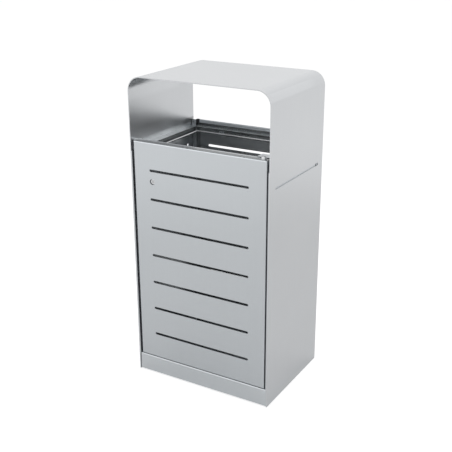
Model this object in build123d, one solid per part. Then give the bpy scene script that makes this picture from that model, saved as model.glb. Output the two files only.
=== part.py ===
from build123d import *
import os

# Outdoor waste bin: a hooded sheet steel body with a slotted front door on pivot pins,
# a fixed slotted rear panel, and a folded collar inside with a hinged ring that holds the bag.
# Millimetres. The origin is on the ground at the middle of the body, the door faces -Y,
# the door pivots on the right (+X) and its lock is on the left (-X).

# Overall body
body_width = 488.0
body_depth = 360.0
body_height = 1000.0
mouth_height = 198.0

# Outer wrap: one sheet bent over both sides and the roof
wrap_sheet = 3.0
wrap_bend_radius = 45.0
side_slot_start = 33.0
side_slot_length = 240.0
side_slot_end_hole = 9.0
side_slot_end_inset = 6.0

# Inner side plates, which carry the collar on their top edges; drops are from the door's top
inner_sheet = 2.5
inner_plate_drop = 34.0

# Plinths, front and rear, and the base plate
plinth_sheet = 3.0
plinth_height = 60.0
plinth_recess = 3.0
plinth_end_gap = 1.0
plinth_foot_gap = 2.0
plinth_top_bend = 3.5
plinth_lip_depth = 27.0
base_sheet = 3.0
base_flange_height = 30.0
anchor_spacing_x = 340.0
anchor_spacing_y = 220.0
anchor_hole_diameter = 13.0
drain_hole_diameter = 16.0
drain_spacing = 240.0

# Door: a folded tray
door_sheet = 2.0
door_side_gap = 8.5
door_bottom_gap = 3.0
door_depth = 19.0
door_recess = 1.2
door_bend_radius = 4.0
door_lip_width = 11.0

# Slots of the door and of the rear panel
slot_height = 8.0
slot_count = 7
slot_end_margin = 88.0
slot_side_margin = 57.5
rear_slot_side_margin = 51.5

# Front rail behind the top of the door
rail_sheet = 2.0
rail_drop = 3.0
rail_front_inset = 24.0
rail_back_inset = 42.0
rail_web_height = 17.0
rail_hinge_cutback = 50.0
rail_tab_depth = 20.0
rail_bend_radius = 3.0

# Corner plate on the rail, behind the sweep of the door's hinge side
corner_plate_sheet = 3.0
corner_plate_width = 57.0
corner_plate_front_inset = 32.5
corner_plate_back_inset = 66.0
corner_plate_radius = 5.0

# Jambs behind the two side edges of the door
jamb_sheet = 2.0
left_jamb_width = 39.5
right_jamb_width = 20.0
jamb_leg_depth = 20.0
jamb_bend_radius = 3.0
buffer_diameter = 10.0
buffer_thickness = 3.0
buffer_squeeze_gap = 0.3
buffer_edge_inset = 5.5
buffer_end_inset = 140.0

# Rear panel: a pan with its sides folded forward, out to the wrap and back along it
rear_sheet = 2.0
rear_side_gap = 16.5
rear_fold_depth = 15.0
rear_return_depth = 12.0
rear_bend_radius = 4.0
rear_hem_height = 11.0
rear_hem_inset = 11.5
rear_hem_depth = 7.0
rear_hem_bend_radius = 3.0

# Door pivots
pivot_inset_x = 28.0
pivot_inset_y = 13.0
pivot_pin_diameter = 8.0
pivot_clearance = 0.06
pivot_head_diameter = 16.0
pivot_head_height = 9.5
pivot_washer_diameter = 18.0
pivot_washer_thickness = 1.5
pivot_pin_reach = 9.0
bush_wall = 2.0
doubler_thickness = 1.5
doubler_left_reach = 13.0
doubler_edge_gap = 2.2
arm_thickness = 5.0
arm_eye_radius = 8.5
arm_foot_near = 47.0
arm_foot_far = 85.0
retainer_diameter = 14.0
retainer_thickness = 1.2
retainer_gap = 0.4
lower_pin_nut_diameter = 15.0
lower_pin_nut_height = 6.0
thrust_gap = 0.3

# Lock
lock_inset_x = 67.0
lock_drop = 124.0
lock_hole_diameter = 19.0
lock_face_recess = 3.0
lock_barrel_diameter = 18.0
lock_barrel_gap = 2.0
lock_boss_across_flats = 27.0
lock_boss_length = 14.0
lock_plug_diameter = 12.0
lock_plug_clearance = 0.05
lock_plug_sink = 0.4
keyway_width = 1.6
keyway_height = 7.0
keyway_depth = 12.0
lock_nut_across_flats = 24.0
lock_nut_thickness = 4.0
cam_square = 7.0
cam_thickness = 3.0
cam_width = 16.0
cam_length = 48.0
cam_gap = 0.8

# Bag collar: an inverted channel all round, with an inner leg turned down
collar_sheet = 2.0
collar_drop = 22.0
collar_front_gap = 2.0
collar_side_ledge = 28.0
collar_front_ledge = 28.0
collar_rear_ledge = 28.0
collar_leg_height = 16.0
collar_corner_radius = 4.0
bracket_sheet = 2.0
bracket_reach = 20.0
bracket_drop = 24.0
bracket_rear_inset = 56.0
bracket_length = 142.0

# Bag ring: a rod bent to a U and welded to a rear bar, which turns in two hooks
ring_rod_diameter = 6.0
ring_leg_gap = 3.5
ring_side_gap = 8.0
ring_drop = 14.0
ring_corner_radius = 14.0
ring_bar_overhang = 9.0
hook_sheet = 2.0
hook_width = 20.0
hook_spacing = 220.0
hook_clearance = 0.06
hook_tab_drop = 6.0
rest_spacing = 300.0
rest_width = 18.0
rest_sheet = 2.0
rest_reach = 12.0
rest_gap = 0.3
grip_offset = 111.0
grip_width = 26.0
grip_top_width = 18.0
grip_thickness = 8.0
grip_rise = 28.0
grip_floor = 2.0
grip_corner_radius = 4.0

# One overrun serves every cut
overrun = 5.0

half_width = body_width / 2
half_depth = body_depth / 2
wall_x = half_width - wrap_sheet
plate_x = wall_x - inner_sheet

door_top = body_height - mouth_height
rail_top = door_top - rail_drop
inner_plate_top = door_top - inner_plate_drop
lock_height = door_top - lock_drop
collar_top = door_top - collar_drop
ring_height = collar_top - ring_drop
hook_tab_top = collar_top - hook_tab_drop

plinth_front = half_depth - plinth_recess
lip_end = half_depth - plinth_lip_depth

door_half = wall_x - door_side_gap
door_bottom = plinth_height + door_bottom_gap
door_front = door_recess - half_depth
door_back = door_front + door_depth
door_inner = door_front + door_sheet
door_flange_under = door_top - door_sheet

slot_length = 2 * (door_half - slot_side_margin)
rear_slot_length = 2 * (door_half - rear_slot_side_margin)
lowest_slot = door_bottom + slot_end_margin
slot_pitch = (door_top - slot_end_margin - lowest_slot) / (slot_count - 1)

pivot_x = half_width - pivot_inset_x
pivot_y = pivot_inset_y - half_depth
pin_radius = pivot_pin_diameter / 2
pin_bore_radius = pin_radius + pivot_clearance
bush_radius = pin_bore_radius + bush_wall

rail_front = rail_front_inset - half_depth
rail_back = rail_back_inset - half_depth
rail_under = rail_top - rail_sheet
rail_bottom = rail_top - rail_web_height

jamb_front = door_back + buffer_thickness + buffer_squeeze_gap
jamb_back = jamb_front + jamb_sheet

rear_top = door_top - door_bottom_gap
rear_half = wall_x - rear_side_gap
rear_skin_inner = half_depth - rear_sheet
rear_flange_front = half_depth - rear_fold_depth
rear_flange_back = rear_flange_front + rear_sheet
rear_return_end = rear_flange_front + rear_return_depth
rear_return_inner = wall_x - rear_sheet
rear_web_inner = rear_half - rear_sheet

lock_x = lock_inset_x - door_half
cam_front = jamb_back + cam_gap
cam_back = cam_front + cam_thickness

collar_front = rail_back + collar_front_gap
opening_half = wall_x - collar_side_ledge
opening_front = collar_front + collar_front_ledge
opening_back = rear_skin_inner - collar_rear_ledge
collar_under = collar_top - collar_sheet
leg_bottom = collar_top - collar_leg_height

rod_radius = ring_rod_diameter / 2
ring_offset = ring_leg_gap + rod_radius
ring_half = opening_half - ring_side_gap - rod_radius
ring_front = opening_front + ring_offset
ring_back = opening_back - ring_offset
bracket_x = plate_x


def outline(*points):
    """A flat face inside a closed row of points."""
    return make_face(Polyline(*points, close=True))


def panel(x_from, x_to, y_from, y_to):
    """A flat rectangle between two corners."""
    middle = ((x_from + x_to) / 2, (y_from + y_to) / 2)
    return Pos(*middle) * Rectangle(x_to - x_from, y_to - y_from)


def corners_at(face, x, y):
    """The two corners of a plan that stand at one place on both sides of the body."""
    near = rear_sheet / 2
    return face.vertices().filter_by(
        lambda corner: abs(abs(corner.X) - x) < near and abs(corner.Y - y) < near)


def upright(plan, z_from, z_to):
    """A plan outline raised between two heights."""
    return extrude(Plane.XY.offset(z_from) * plan, amount=z_to - z_from)


def across_width(section, x_from, x_to):
    """A section in depth and height, drawn out along the width."""
    return extrude(Plane.YZ.offset(x_from) * section, amount=x_to - x_from)


def across_depth(section, y_from, y_to):
    """A section in width and height, drawn out along the depth."""
    return extrude(Plane.XZ.offset(-y_to) * section, amount=y_to - y_from)


def block(x_from, x_to, y_from, y_to, z_from, z_to):
    """A straight block between two corners."""
    return upright(panel(x_from, x_to, y_from, y_to), z_from, z_to)


def post(x, y, radius, z_from, z_to):
    """A round post or a round cut along Z."""
    return upright(Pos(x, y) * Circle(radius), z_from, z_to)


def spindle(x, z, radius, y_from, y_to):
    """A round bar or a round cut along Y."""
    return across_depth(Pos(x, z) * Circle(radius), y_from, y_to)


def on_both_sides(shape):
    """The shape and its mirror image on the other side of the body."""
    return shape + mirror(shape, about=Plane.YZ)


def slot_heights():
    """Heights of the slot rows, lowest first."""
    return [lowest_slot + slot_pitch * row for row in range(slot_count)]


def slot_row_cuts(length, drop, y_from, y_to):
    """All the slots of one panel as a group of cutting bars, lower than the door's by a drop."""
    cuts = [
        across_depth(Pos(0, z - drop) * SlotOverall(length, slot_height), y_from, y_to)
        for z in slot_heights()
    ]
    return Compound(children=cuts)


def wrap_outline(half, top, radius):
    """The outline of the body seen from the front, with round top corners."""
    face = outline((-half, 0), (half, 0), (half, top), (-half, top))
    return fillet(face.vertices().group_by(Axis.Y)[-1], radius)


def outer_wrap():
    """One bent sheet: left side, roof and right side, with a slot in each side."""
    outer = wrap_outline(half_width, body_height, wrap_bend_radius)
    inner = wrap_outline(wall_x, body_height - wrap_sheet, wrap_bend_radius - wrap_sheet)
    wrap = across_depth(outer - inner, -half_depth, half_depth)
    slot_middle = side_slot_start + side_slot_length / 2 - half_depth
    slot = Pos(slot_middle, slot_heights()[-1]) * SlotOverall(side_slot_length, slot_height)
    return wrap - across_width(slot, -half_width - overrun, half_width + overrun)


def inner_plate():
    """The right inner side plate, which closes the wrap's slot and stands on the plinths' lips."""
    plate = block(plate_x, wall_x, -half_depth, rear_flange_front, 0, inner_plate_top)
    notch = block(plate_x - overrun, wall_x + overrun, -half_depth - overrun, -lip_end, -overrun,
                  plinth_height)
    plate -= notch + mirror(notch, about=Plane.XZ)
    hole_y = side_slot_start + side_slot_length - side_slot_end_inset - half_depth
    hole = Pos(hole_y, slot_heights()[-1]) * Circle(side_slot_end_hole / 2)
    return plate - across_width(hole, plate_x - overrun, wall_x + overrun)


def plinth():
    """The front plinth: a low face between the sides, its top edge bent back to a lip."""
    face = -plinth_front
    low_edge = plinth_height - plinth_sheet
    section = outline(
        (face, plinth_foot_gap), (face, plinth_height), (-lip_end, plinth_height),
        (-lip_end, low_edge), (face + plinth_sheet, low_edge), (face + plinth_sheet, plinth_foot_gap))
    bend = section.vertices().group_by(Axis.Y)[-1].group_by(Axis.X)[0]
    section = fillet(bend, plinth_top_bend)
    end = wall_x - plinth_end_gap
    return across_width(section, -end, end)


def front_plinth():
    """The plinth under the door, with the hole for the lower pivot pin."""
    return plinth() - post(pivot_x, pivot_y, pin_radius, 0, plinth_height + overrun)


def rear_plinth():
    """The same plinth turned to the rear."""
    return mirror(plinth(), about=Plane.XZ)


def base_plate():
    """The floor of the bin, with side flanges, anchor holes and drain holes."""
    inner_edge = plinth_front - plinth_sheet
    plate = block(-plate_x, plate_x, -inner_edge, inner_edge, 0, base_sheet)
    plate += on_both_sides(
        block(plate_x - base_sheet, plate_x, -lip_end, lip_end, 0, base_flange_height))
    for spot in GridLocations(anchor_spacing_x, anchor_spacing_y, 2, 2):
        plate -= spot * post(0, 0, anchor_hole_diameter / 2, -overrun, base_sheet + overrun)
    for spot in GridLocations(drain_spacing, 0, 2, 1):
        plate -= spot * post(0, 0, drain_hole_diameter / 2, -overrun, base_sheet + overrun)
    return plate


def rear_plan():
    """The folded section of the rear panel, seen from above."""
    right = outline(
        (0, half_depth), (rear_half, half_depth), (rear_half, rear_flange_back),
        (rear_return_inner, rear_flange_back), (rear_return_inner, rear_return_end),
        (wall_x, rear_return_end), (wall_x, rear_flange_front), (rear_web_inner, rear_flange_front),
        (rear_web_inner, rear_skin_inner), (0, rear_skin_inner))
    face = right + mirror(right, about=Plane.YZ)
    face = fillet(corners_at(face, rear_half, half_depth), rear_bend_radius)
    face = fillet(corners_at(face, wall_x, rear_flange_front), rear_bend_radius)
    inner_radius = rear_bend_radius - rear_sheet
    face = fillet(corners_at(face, rear_web_inner, rear_skin_inner), inner_radius)
    return fillet(corners_at(face, rear_return_inner, rear_flange_back), inner_radius)


def rear_hem_section():
    """The folded top of the rear panel: skin, flange and a short lip turned down."""
    low = rear_top - rear_hem_height
    lip = half_depth - rear_hem_depth
    face = outline(
        (half_depth, low), (half_depth, rear_top), (lip, rear_top), (lip, low),
        (lip + rear_sheet, low), (lip + rear_sheet, rear_top - rear_sheet),
        (rear_skin_inner, rear_top - rear_sheet), (rear_skin_inner, low))
    outer = face.vertices().group_by(Axis.Y)[-1]
    return fillet(outer, rear_hem_bend_radius)


def rear_panel():
    """The fixed rear panel, which stands on its plinth, with slots like the door's."""
    pan = upright(rear_plan(), plinth_height, rear_top)
    hem_half = rear_half - rear_hem_inset
    low = rear_top - rear_hem_height
    pan -= block(-hem_half, hem_half, rear_skin_inner - overrun, half_depth + overrun,
                 low, rear_top + overrun)
    pan += across_width(rear_hem_section(), -hem_half, hem_half)
    return pan - slot_row_cuts(rear_slot_length, door_bottom_gap, rear_skin_inner - overrun,
                               half_depth + overrun)


def front_rail():
    """The angle behind the top of the door, cut back where the door's hinge side turns in."""
    section = outline(
        (rail_front, rail_top), (rail_back, rail_top), (rail_back, rail_bottom),
        (rail_back - rail_sheet, rail_bottom), (rail_back - rail_sheet, rail_under),
        (rail_front, rail_under))
    bend = section.vertices().filter_by(
        lambda corner: corner.Y > rail_top - rail_sheet / 2 and corner.X > rail_back - rail_sheet / 2)
    rail = across_width(fillet(bend, rail_bend_radius), -wall_x, wall_x)
    rail -= block(half_width - rail_hinge_cutback, wall_x + overrun, rail_front - overrun,
                  rail_back - rail_sheet, rail_bottom, rail_top + overrun)
    tab = block(wall_x - rail_sheet, wall_x, rail_back - rail_sheet, rail_back + rail_tab_depth,
                rail_bottom, rail_under - rail_bend_radius)
    return rail + on_both_sides(tab)


def corner_plate():
    """The plate on top of the rail that ties it to the side wall behind the hinge."""
    plan = panel(wall_x - corner_plate_width, wall_x, corner_plate_front_inset - half_depth,
                 corner_plate_back_inset - half_depth)
    free_corner = plan.vertices().group_by(Axis.X)[0].group_by(Axis.Y)[-1]
    plan = fillet(free_corner, corner_plate_radius)
    return upright(plan, rail_top, rail_top + corner_plate_sheet)


def jamb(width, face_front):
    """The right jamb: a face behind the door's edge and a leg back along the inner plate."""
    face_back = face_front + jamb_sheet
    plan = outline(
        (plate_x - width, face_front), (plate_x, face_front),
        (plate_x, face_back + jamb_leg_depth), (plate_x - jamb_sheet, face_back + jamb_leg_depth),
        (plate_x - jamb_sheet, face_back), (plate_x - width, face_back))
    bend = plan.vertices().filter_by(
        lambda corner: corner.X > plate_x - jamb_sheet / 2 and corner.Y < face_front + jamb_sheet / 2)
    return upright(fillet(bend, jamb_bend_radius), plinth_height, inner_plate_top)


def buffer_spots():
    """Heights of the two door buffers on the left jamb."""
    return (door_bottom + buffer_end_inset, door_top - buffer_end_inset)


def buffer_x():
    """The buffers meet the middle of the lip on the lock side of the door."""
    return buffer_edge_inset + door_sheet - door_half


def left_jamb():
    """The wide jamb on the lock side, which the cam turns behind."""
    return mirror(jamb(left_jamb_width, jamb_front), about=Plane.YZ)


def right_jamb():
    """The narrow jamb on the hinge side, set back behind the sweep of the door."""
    return jamb(right_jamb_width, rail_back - jamb_sheet)


def door_buffers():
    """Two rubber discs stuck to the left jamb."""
    parts = []
    for z in buffer_spots():
        disc = spindle(buffer_x(), z, buffer_diameter / 2, jamb_front - buffer_thickness, jamb_front)
        parts.append(chamfer(disc.edges().group_by(Axis.Y)[0], buffer_thickness / 3))
    return Compound(children=parts)


def hinge_arm():
    """The arm under the rail that carries the upper pivot: a round eye on a welded foot."""
    eye = Pos(pivot_x, pivot_y) * Circle(arm_eye_radius)
    foot_right = pivot_x - arm_foot_near
    foot_left = pivot_x - arm_foot_far
    web_front = rail_back - rail_sheet
    foot = outline((foot_left, rail_front), (foot_right, (rail_front + web_front) / 2),
                   (foot_right, web_front), (foot_left, web_front))
    plan = make_hull(eye.edges() + foot.edges())
    arm = upright(plan, rail_under - arm_thickness, rail_under)
    return arm - post(pivot_x, pivot_y, bush_radius, 0, rail_top)


def upper_bush():
    """The plain bush in the hinge arm's eye."""
    bush = post(pivot_x, pivot_y, bush_radius, rail_under - arm_thickness, rail_under)
    return bush - post(pivot_x, pivot_y, pin_bore_radius, 0, rail_top)


def lower_pin():
    """The fixed pin under the door: a nut under the plinth's top and a chamfered shank."""
    lip_under = plinth_height - plinth_sheet
    shank_top = door_bottom + door_sheet + doubler_thickness + pivot_pin_reach
    shank = post(pivot_x, pivot_y, pin_radius, lip_under, shank_top)
    shank = chamfer(shank.edges().group_by(Axis.Z)[-1], pin_radius / 4)
    nut_plan = Pos(pivot_x, pivot_y) * RegularPolygon(lower_pin_nut_diameter / 2, 6)
    return shank + upright(nut_plan, lip_under - lower_pin_nut_height, lip_under)


def thrust_washer():
    """The washer on the plinth that the door turns on."""
    washer = post(pivot_x, pivot_y, pivot_washer_diameter / 2, plinth_height,
                  door_bottom - thrust_gap)
    return washer - post(pivot_x, pivot_y, pin_bore_radius, 0, door_top)


def door_panel():
    """The door: a tray folded from one sheet, slotted, with a lip on the lock side."""
    tray = block(-door_half, door_half, door_front, door_back, door_bottom, door_top)
    front_edges = tray.edges().group_by(Axis.Y)[0]
    tray = fillet(front_edges, door_bend_radius)
    hollow = block(door_sheet - door_half, door_half - door_sheet, door_inner,
                   door_back + overrun, door_bottom + door_sheet, door_flange_under)
    hollow = fillet(hollow.edges().group_by(Axis.Y)[0], door_bend_radius - door_sheet)
    tray -= hollow
    lip_edge = door_sheet - door_half
    tray += block(lip_edge, lip_edge + door_lip_width, door_back - door_sheet, door_back,
                  door_bottom + door_sheet, door_flange_under)
    tray -= slot_row_cuts(slot_length, 0, door_front - overrun, door_inner + overrun)
    tray -= spindle(lock_x, lock_height, lock_hole_diameter / 2, door_front - overrun,
                    door_inner + overrun)
    tray -= post(pivot_x, pivot_y, pin_radius, door_flange_under - overrun, door_top + overrun)
    return tray - post(pivot_x, pivot_y, bush_radius, door_bottom - overrun,
                       door_bottom + door_sheet)


def doubler(z_from, hole_radius):
    """A small plate that thickens the door's flange around a pivot."""
    plan = panel(pivot_x - doubler_left_reach, door_half - door_sheet - doubler_edge_gap,
                 door_inner + doubler_edge_gap, door_back)
    plate = upright(plan, z_from, z_from + doubler_thickness)
    return plate - post(pivot_x, pivot_y, hole_radius, 0, door_top)


def upper_doubler():
    """The doubler under the door's top flange."""
    return doubler(door_flange_under - doubler_thickness, pin_radius)


def lower_doubler():
    """The doubler on the door's bottom flange, bored for the lower bush."""
    return doubler(door_bottom + door_sheet, bush_radius)


def upper_pin():
    """The upper pivot pin: a round head on the door's top flange, and a shank."""
    head_under = door_top + pivot_washer_thickness
    head_top = head_under + pivot_head_height
    head = post(pivot_x, pivot_y, pivot_head_diameter / 2, head_under, head_top)
    head = chamfer(head.edges().group_by(Axis.Z)[-1], pivot_head_height / 3)
    shank_end = retainer_under() - retainer_thickness
    return head + post(pivot_x, pivot_y, pin_radius, shank_end, head_under)


def retainer_under():
    """The height of the lower face of the push-on ring."""
    return rail_under - arm_thickness - retainer_gap - retainer_thickness


def pin_retainer():
    """The push-on ring that keeps the upper pin in its bush."""
    low = retainer_under()
    ring = post(pivot_x, pivot_y, retainer_diameter / 2, low, low + retainer_thickness)
    return ring - post(pivot_x, pivot_y, pin_radius, 0, rail_top)


def pivot_washer():
    """The dark washer between the upper pin's head and the door."""
    washer = post(pivot_x, pivot_y, pivot_washer_diameter / 2, door_top,
                  door_top + pivot_washer_thickness)
    return washer - post(pivot_x, pivot_y, pin_radius, 0, body_height)


def lower_bush():
    """The plain bush in the door's bottom flange, which turns on the lower pin."""
    bush = post(pivot_x, pivot_y, bush_radius, door_bottom,
                door_bottom + door_sheet + doubler_thickness)
    return bush - post(pivot_x, pivot_y, pin_bore_radius, 0, body_height)


def lock_barrel_end():
    """Where the lock's fixed barrel ends behind the door."""
    return cam_front - lock_barrel_gap


def lock_hexagon(across_flats, y_from, y_to):
    """A hexagon nut around the lock's barrel."""
    plan = Pos(lock_x, lock_height) * RegularPolygon(across_flats / 2, 6, major_radius=False)
    nut = across_depth(plan, y_from, y_to)
    return nut - spindle(lock_x, lock_height, lock_barrel_diameter / 2, -half_depth, rail_back)


def lock_boss():
    """The hexagonal weld nut behind the door's skin, in which the barrel screws."""
    return lock_hexagon(lock_boss_across_flats, door_inner, door_inner + lock_boss_length)


def lock_barrel():
    """The fixed barrel of the lock, its face set back in the door's round hole."""
    face_y = door_front + lock_face_recess
    barrel = spindle(lock_x, lock_height, lock_barrel_diameter / 2, face_y, lock_barrel_end())
    return barrel - spindle(lock_x, lock_height, lock_plug_diameter / 2 + lock_plug_clearance,
                            -half_depth, rail_back)


def lock_nut():
    """The hexagon nut that locks the barrel against the boss."""
    seat = door_inner + lock_boss_length
    return lock_hexagon(lock_nut_across_flats, seat, seat + lock_nut_thickness)


def lock_plug():
    """The turning core of the lock, with a keyway in front and a square tail behind."""
    plug_front = door_front + lock_face_recess + lock_plug_sink
    plug = spindle(lock_x, lock_height, lock_plug_diameter / 2, plug_front, cam_front)
    tail = Pos(lock_x, lock_height) * Rectangle(cam_square, cam_square)
    plug += across_depth(tail, cam_front, cam_back)
    keyway = Pos(lock_x, lock_height) * Rectangle(keyway_width, keyway_height)
    return plug - across_depth(keyway, plug_front - overrun, plug_front + keyway_depth)


def lock_cam():
    """The cam, which hangs down at rest and turns to the left to lock."""
    tip = lock_height - cam_length + cam_width / 2
    plan = make_hull((Pos(lock_x, lock_height) * Circle(cam_width / 2)).edges()
                     + (Pos(lock_x, tip) * Circle(cam_width / 2)).edges())
    hole = Pos(lock_x, lock_height) * Rectangle(cam_square, cam_square)
    return across_depth(plan - hole, cam_front, cam_back)


def collar_plan(inset):
    """The collar's outline from above: it reaches back between the folds of the rear panel."""
    body = panel(inset - wall_x, wall_x - inset, collar_front + inset, rear_flange_front - inset)
    tongue = panel(inset - rear_web_inner, rear_web_inner - inset, collar_front + inset,
                   rear_skin_inner - inset)
    tongue = fillet(tongue.vertices().group_by(Axis.Y)[-1], rear_bend_radius - inset)
    return body + tongue


def opening_plan(outset):
    """The collar's opening, or the outside of the leg around it."""
    face = panel(-opening_half - outset, opening_half + outset, opening_front - outset,
                 opening_back + outset)
    return fillet(face.vertices(), collar_corner_radius + outset)


def bag_collar():
    """The folded frame that carries the bag: a ledge all round with legs turned down."""
    collar = upright(collar_plan(0), inner_plate_top, collar_top)
    collar -= upright(collar_plan(collar_sheet), inner_plate_top - overrun, collar_under)
    collar += upright(opening_plan(collar_sheet), leg_bottom, collar_top)
    return collar - upright(opening_plan(0), leg_bottom - overrun, collar_top + overrun)


def collar_bracket():
    """The right bracket under the ledge: an angle between the inner plate and the collar."""
    bracket_top = collar_under
    section = outline(
        (bracket_x, bracket_top), (bracket_x - bracket_reach, bracket_top),
        (bracket_x - bracket_reach, bracket_top - bracket_sheet),
        (bracket_x - bracket_sheet, bracket_top - bracket_sheet),
        (bracket_x - bracket_sheet, bracket_top - bracket_drop), (bracket_x, bracket_top - bracket_drop))
    y_to = half_depth - bracket_rear_inset
    return across_depth(section, y_to - bracket_length, y_to)


def ring_hooks():
    """Two hooks welded to the collar's rear leg, in which the ring's rear bar turns."""
    bore_radius = rod_radius + hook_clearance
    loop = Pos(ring_back, ring_height) * Circle(bore_radius + hook_sheet)
    tab = panel(opening_back - hook_sheet, opening_back, ring_height, hook_tab_top)
    link = panel(ring_back, opening_back, ring_height - hook_sheet / 2, ring_height + hook_sheet / 2)
    section = loop + tab + link - Pos(ring_back, ring_height) * Circle(bore_radius)
    section -= panel(opening_front, ring_back, ring_height, collar_top)
    return Compound(children=[
        across_width(section, x - hook_width / 2, x + hook_width / 2)
        for x in (-hook_spacing / 2, hook_spacing / 2)
    ])


def ring_rests():
    """Two small angles on the collar's front leg, under the ring's front bar."""
    rest_top = ring_height - rod_radius - rest_gap
    section = outline(
        (opening_front, collar_under), (opening_front + rest_sheet, collar_under),
        (opening_front + rest_sheet, rest_top), (opening_front + rest_reach, rest_top),
        (opening_front + rest_reach, rest_top - rest_sheet), (opening_front, rest_top - rest_sheet))
    rests = [
        across_width(section, x - rest_width / 2, x + rest_width / 2)
        for x in (-rest_spacing / 2, rest_spacing / 2)
    ]
    return Compound(children=rests)


def bag_ring():
    """The bag ring: a round rod bent to a U, with a straight bar across its rear ends."""
    bend = FilletPolyline(
        (-ring_half, ring_back), (-ring_half, ring_front), (ring_half, ring_front),
        (ring_half, ring_back), radius=ring_corner_radius)
    path = Plane.XY.offset(ring_height) * bend
    start = Plane(origin=path.position_at(0), z_dir=path.tangent_at(0))
    rod = sweep(start * Circle(rod_radius), path=path)
    bar = Pos(ring_back, ring_height) * Circle(rod_radius)
    bar_end = ring_half + ring_bar_overhang
    return rod + across_width(bar, -bar_end, bar_end)


def ring_grip():
    """The moulded finger grip on the ring's front bar."""
    low = ring_height - rod_radius - grip_floor
    top = low + grip_rise
    plan = outline(
        (grip_offset - grip_width / 2, low), (grip_offset + grip_width / 2, low),
        (grip_offset + grip_top_width / 2, top), (grip_offset - grip_top_width / 2, top))
    plan = fillet(plan.vertices().group_by(Axis.Y)[-1], grip_corner_radius)
    grip = across_depth(plan, ring_front - grip_thickness / 2, ring_front + grip_thickness / 2)
    bar = Pos(ring_front, ring_height) * Circle(rod_radius)
    return grip - across_width(bar, grip_offset - grip_width, grip_offset + grip_width)


nodes = {
    "outer_wrap": outer_wrap(),
    "inner_plate_left": mirror(inner_plate(), about=Plane.YZ),
    "inner_plate_right": inner_plate(),
    "rear_panel": rear_panel(),
    "front_plinth": front_plinth(),
    "rear_plinth": rear_plinth(),
    "base_plate": base_plate(),
    "front_rail": front_rail(),
    "corner_plate": corner_plate(),
    "jamb_left": left_jamb(),
    "jamb_right": right_jamb(),
    "door_buffers": door_buffers(),
    "hinge_arm": hinge_arm(),
    "hinge_bush_upper": upper_bush(),
    "pivot_pin_lower": lower_pin(),
    "thrust_washer": thrust_washer(),
    "bag_collar": bag_collar(),
    "collar_bracket_left": mirror(collar_bracket(), about=Plane.YZ),
    "collar_bracket_right": collar_bracket(),
    "ring_hooks": ring_hooks(),
    "ring_rests": ring_rests(),
    "bag_ring": bag_ring(),
    "ring_grip": ring_grip(),
    "door_panel": door_panel(),
    "door_doubler_upper": upper_doubler(),
    "door_doubler_lower": lower_doubler(),
    "pivot_pin_upper": upper_pin(),
    "pivot_pin_retainer": pin_retainer(),
    "pivot_washer": pivot_washer(),
    "hinge_bush_lower": lower_bush(),
    "lock_boss": lock_boss(),
    "lock_barrel": lock_barrel(),
    "lock_nut": lock_nut(),
    "lock_plug": lock_plug(),
    "lock_cam": lock_cam(),
}

os.makedirs("parts", exist_ok=True)
for name, shape in nodes.items():
    export_step(shape, f"parts/{name}.step")
    print(name, round(shape.volume))
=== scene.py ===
import math

import bmesh
import bpy
from bpy.props import FloatProperty, FloatVectorProperty, IntProperty, PointerProperty
from mathutils import Matrix, Vector


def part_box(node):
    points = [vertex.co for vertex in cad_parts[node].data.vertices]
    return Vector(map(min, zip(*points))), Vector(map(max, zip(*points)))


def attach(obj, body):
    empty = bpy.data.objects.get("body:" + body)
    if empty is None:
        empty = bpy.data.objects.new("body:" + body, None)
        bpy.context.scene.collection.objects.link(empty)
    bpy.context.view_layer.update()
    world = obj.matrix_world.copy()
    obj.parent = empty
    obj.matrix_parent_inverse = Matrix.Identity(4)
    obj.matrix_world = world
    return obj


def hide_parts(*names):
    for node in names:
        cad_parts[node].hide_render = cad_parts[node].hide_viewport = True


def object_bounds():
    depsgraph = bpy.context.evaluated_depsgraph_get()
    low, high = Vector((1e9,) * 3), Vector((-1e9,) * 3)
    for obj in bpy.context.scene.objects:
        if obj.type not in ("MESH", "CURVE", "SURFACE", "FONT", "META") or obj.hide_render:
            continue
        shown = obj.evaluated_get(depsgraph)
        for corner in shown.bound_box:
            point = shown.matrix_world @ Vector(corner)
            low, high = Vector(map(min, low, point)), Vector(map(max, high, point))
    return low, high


bl_info = {
    "name": "Hooded waste bin",
    "version": (1, 0, 0),
    "blender": (4, 5, 0),
    "location": "3D View > Sidebar > Waste bin",
    "description": "Finishes, small round parts, light and camera for a hooded steel waste bin",
    "category": "Object",
}

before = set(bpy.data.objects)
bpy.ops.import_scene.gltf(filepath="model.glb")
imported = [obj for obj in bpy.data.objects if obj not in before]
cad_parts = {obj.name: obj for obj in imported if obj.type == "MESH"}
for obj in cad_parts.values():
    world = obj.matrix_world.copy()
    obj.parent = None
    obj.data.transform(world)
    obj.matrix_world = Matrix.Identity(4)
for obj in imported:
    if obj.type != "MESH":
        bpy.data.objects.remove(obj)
CAD_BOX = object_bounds()
MM = 0.001
FULL_TURN = 2 * math.pi
WHITE = (1.0, 1.0, 1.0, 1.0)

# Points nearer than this merge. Faces that differ by less than the flat angle are one face, a
# nut's edge is rounded from the corner angle on, and an edge shows as sharp from the sharp angle.
MERGE_DISTANCE = 0.001 * MM
FLAT_ANGLE = math.radians(0.2)
CORNER_ANGLE = math.radians(40)
SHARP_ANGLE = math.radians(32)

INNER_PLATES = ("inner_plate_left", "inner_plate_right")
INNER_SHEETS = ("jamb_left", "jamb_right", "collar_bracket_left", "collar_bracket_right",
                "base_plate", "hinge_arm", "door_doubler_upper", "door_doubler_lower",
                "ring_hooks", "ring_rests")

# Low and high corner, as Y and Z in millimetres, of a box round the rear end of a side slot and
# its hole, and how far the box passes the sides.
SLOT_END = ((82, 709), (93.5, 719))
SLOT_MARGIN = 1

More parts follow.
